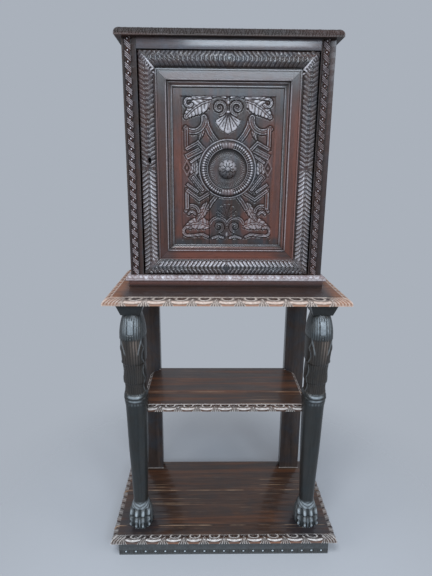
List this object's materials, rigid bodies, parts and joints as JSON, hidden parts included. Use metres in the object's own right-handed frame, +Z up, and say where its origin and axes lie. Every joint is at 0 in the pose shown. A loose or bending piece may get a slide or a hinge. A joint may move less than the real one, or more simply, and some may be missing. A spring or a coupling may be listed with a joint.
{
  "type": "cabinet on stand",
  "caption": "Carved oak credenza: a one-door cabinet with a strapwork panel and torus frame, on an open stand with lion-paw legs, a middle shelf and a plinth base.",
  "frame": {"origin": "middle of the footprint on the floor", "axes": "+X to the right along the front, +Y from front to back, +Z up"},
  "size_m": [0.758, 0.404, 1.65],
  "materials": {
    "black_oak": "black-stained waxed oak",
    "brown_oak": "dark brown waxed oak, worn",
    "plain_oak": "bare aged oak",
    "green_black_oak": "greenish black polished oak",
    "iron": "dark forged iron"
  },
  "bodies": {
    "root": {"plinth_front": "green_black_oak", "plinth_left": "green_black_oak", "plinth_right": "green_black_oak", "plinth_back": "plain_oak", "base_front_board": "brown_oak", "base_middle_board": "brown_oak", "base_rear_board": "brown_oak", "left_leg": "green_black_oak", "right_leg": "green_black_oak", "left_leg_cap": "green_black_oak", "right_leg_cap": "green_black_oak", "left_post": "black_oak", "right_post": "black_oak", "shelf_front_board": "brown_oak", "shelf_rear_board": "brown_oak", "top_front_board": "black_oak", "top_rear_board": "black_oak", "left_front_stile": "black_oak", "right_front_stile": "black_oak", "left_rear_stile": "plain_oak", "right_rear_stile": "plain_oak", "frieze_rail": "black_oak", "bottom_rail": "plain_oak", "left_side_top_rail": "black_oak", "left_side_bottom_rail": "black_oak", "left_side_panel": "black_oak", "right_side_top_rail": "black_oak", "right_side_bottom_rail": "black_oak", "right_side_panel": "black_oak", "cabinet_floor": "plain_oak", "back_board_left": "plain_oak", "back_board_middle": "plain_oak", "back_board_right": "plain_oak", "inner_shelf": "plain_oak", "left_shelf_cleat": "plain_oak", "right_shelf_cleat": "plain_oak", "base_moulding_front": "black_oak", "base_moulding_left": "black_oak", "base_moulding_right": "black_oak", "cabinet_top": "black_oak", "upper_pivot_pin": "iron", "lower_pivot_pin": "iron"},
    "door": {"door_frame_top": "black_oak", "door_frame_bottom": "black_oak", "door_frame_left": "black_oak", "door_frame_right": "black_oak", "panel_moulding_top": "black_oak", "panel_moulding_bottom": "black_oak", "panel_moulding_left": "black_oak", "panel_moulding_right": "black_oak", "door_panel_left": "black_oak", "door_panel_right": "black_oak", "medallion": "black_oak", "rosette_boss": "black_oak", "upper_pivot_bush": "iron", "lower_pivot_bush": "iron", "lock_case": "iron"},
    "bolt": {"lock_bolt": "iron"}
  },
  "joints": [
    {"name": "door_swing", "type": "hinge", "parent": "root", "child": "door", "pos_m": [0.2355, -0.046, 0.9555], "axis": [0, 0, 1], "range_deg": [0, 100]},
    {"name": "bolt_throw", "type": "slide", "parent": "door", "child": "bolt", "axis": [-1, 0, 0], "range_m": [0, 0.012]}
  ]
}
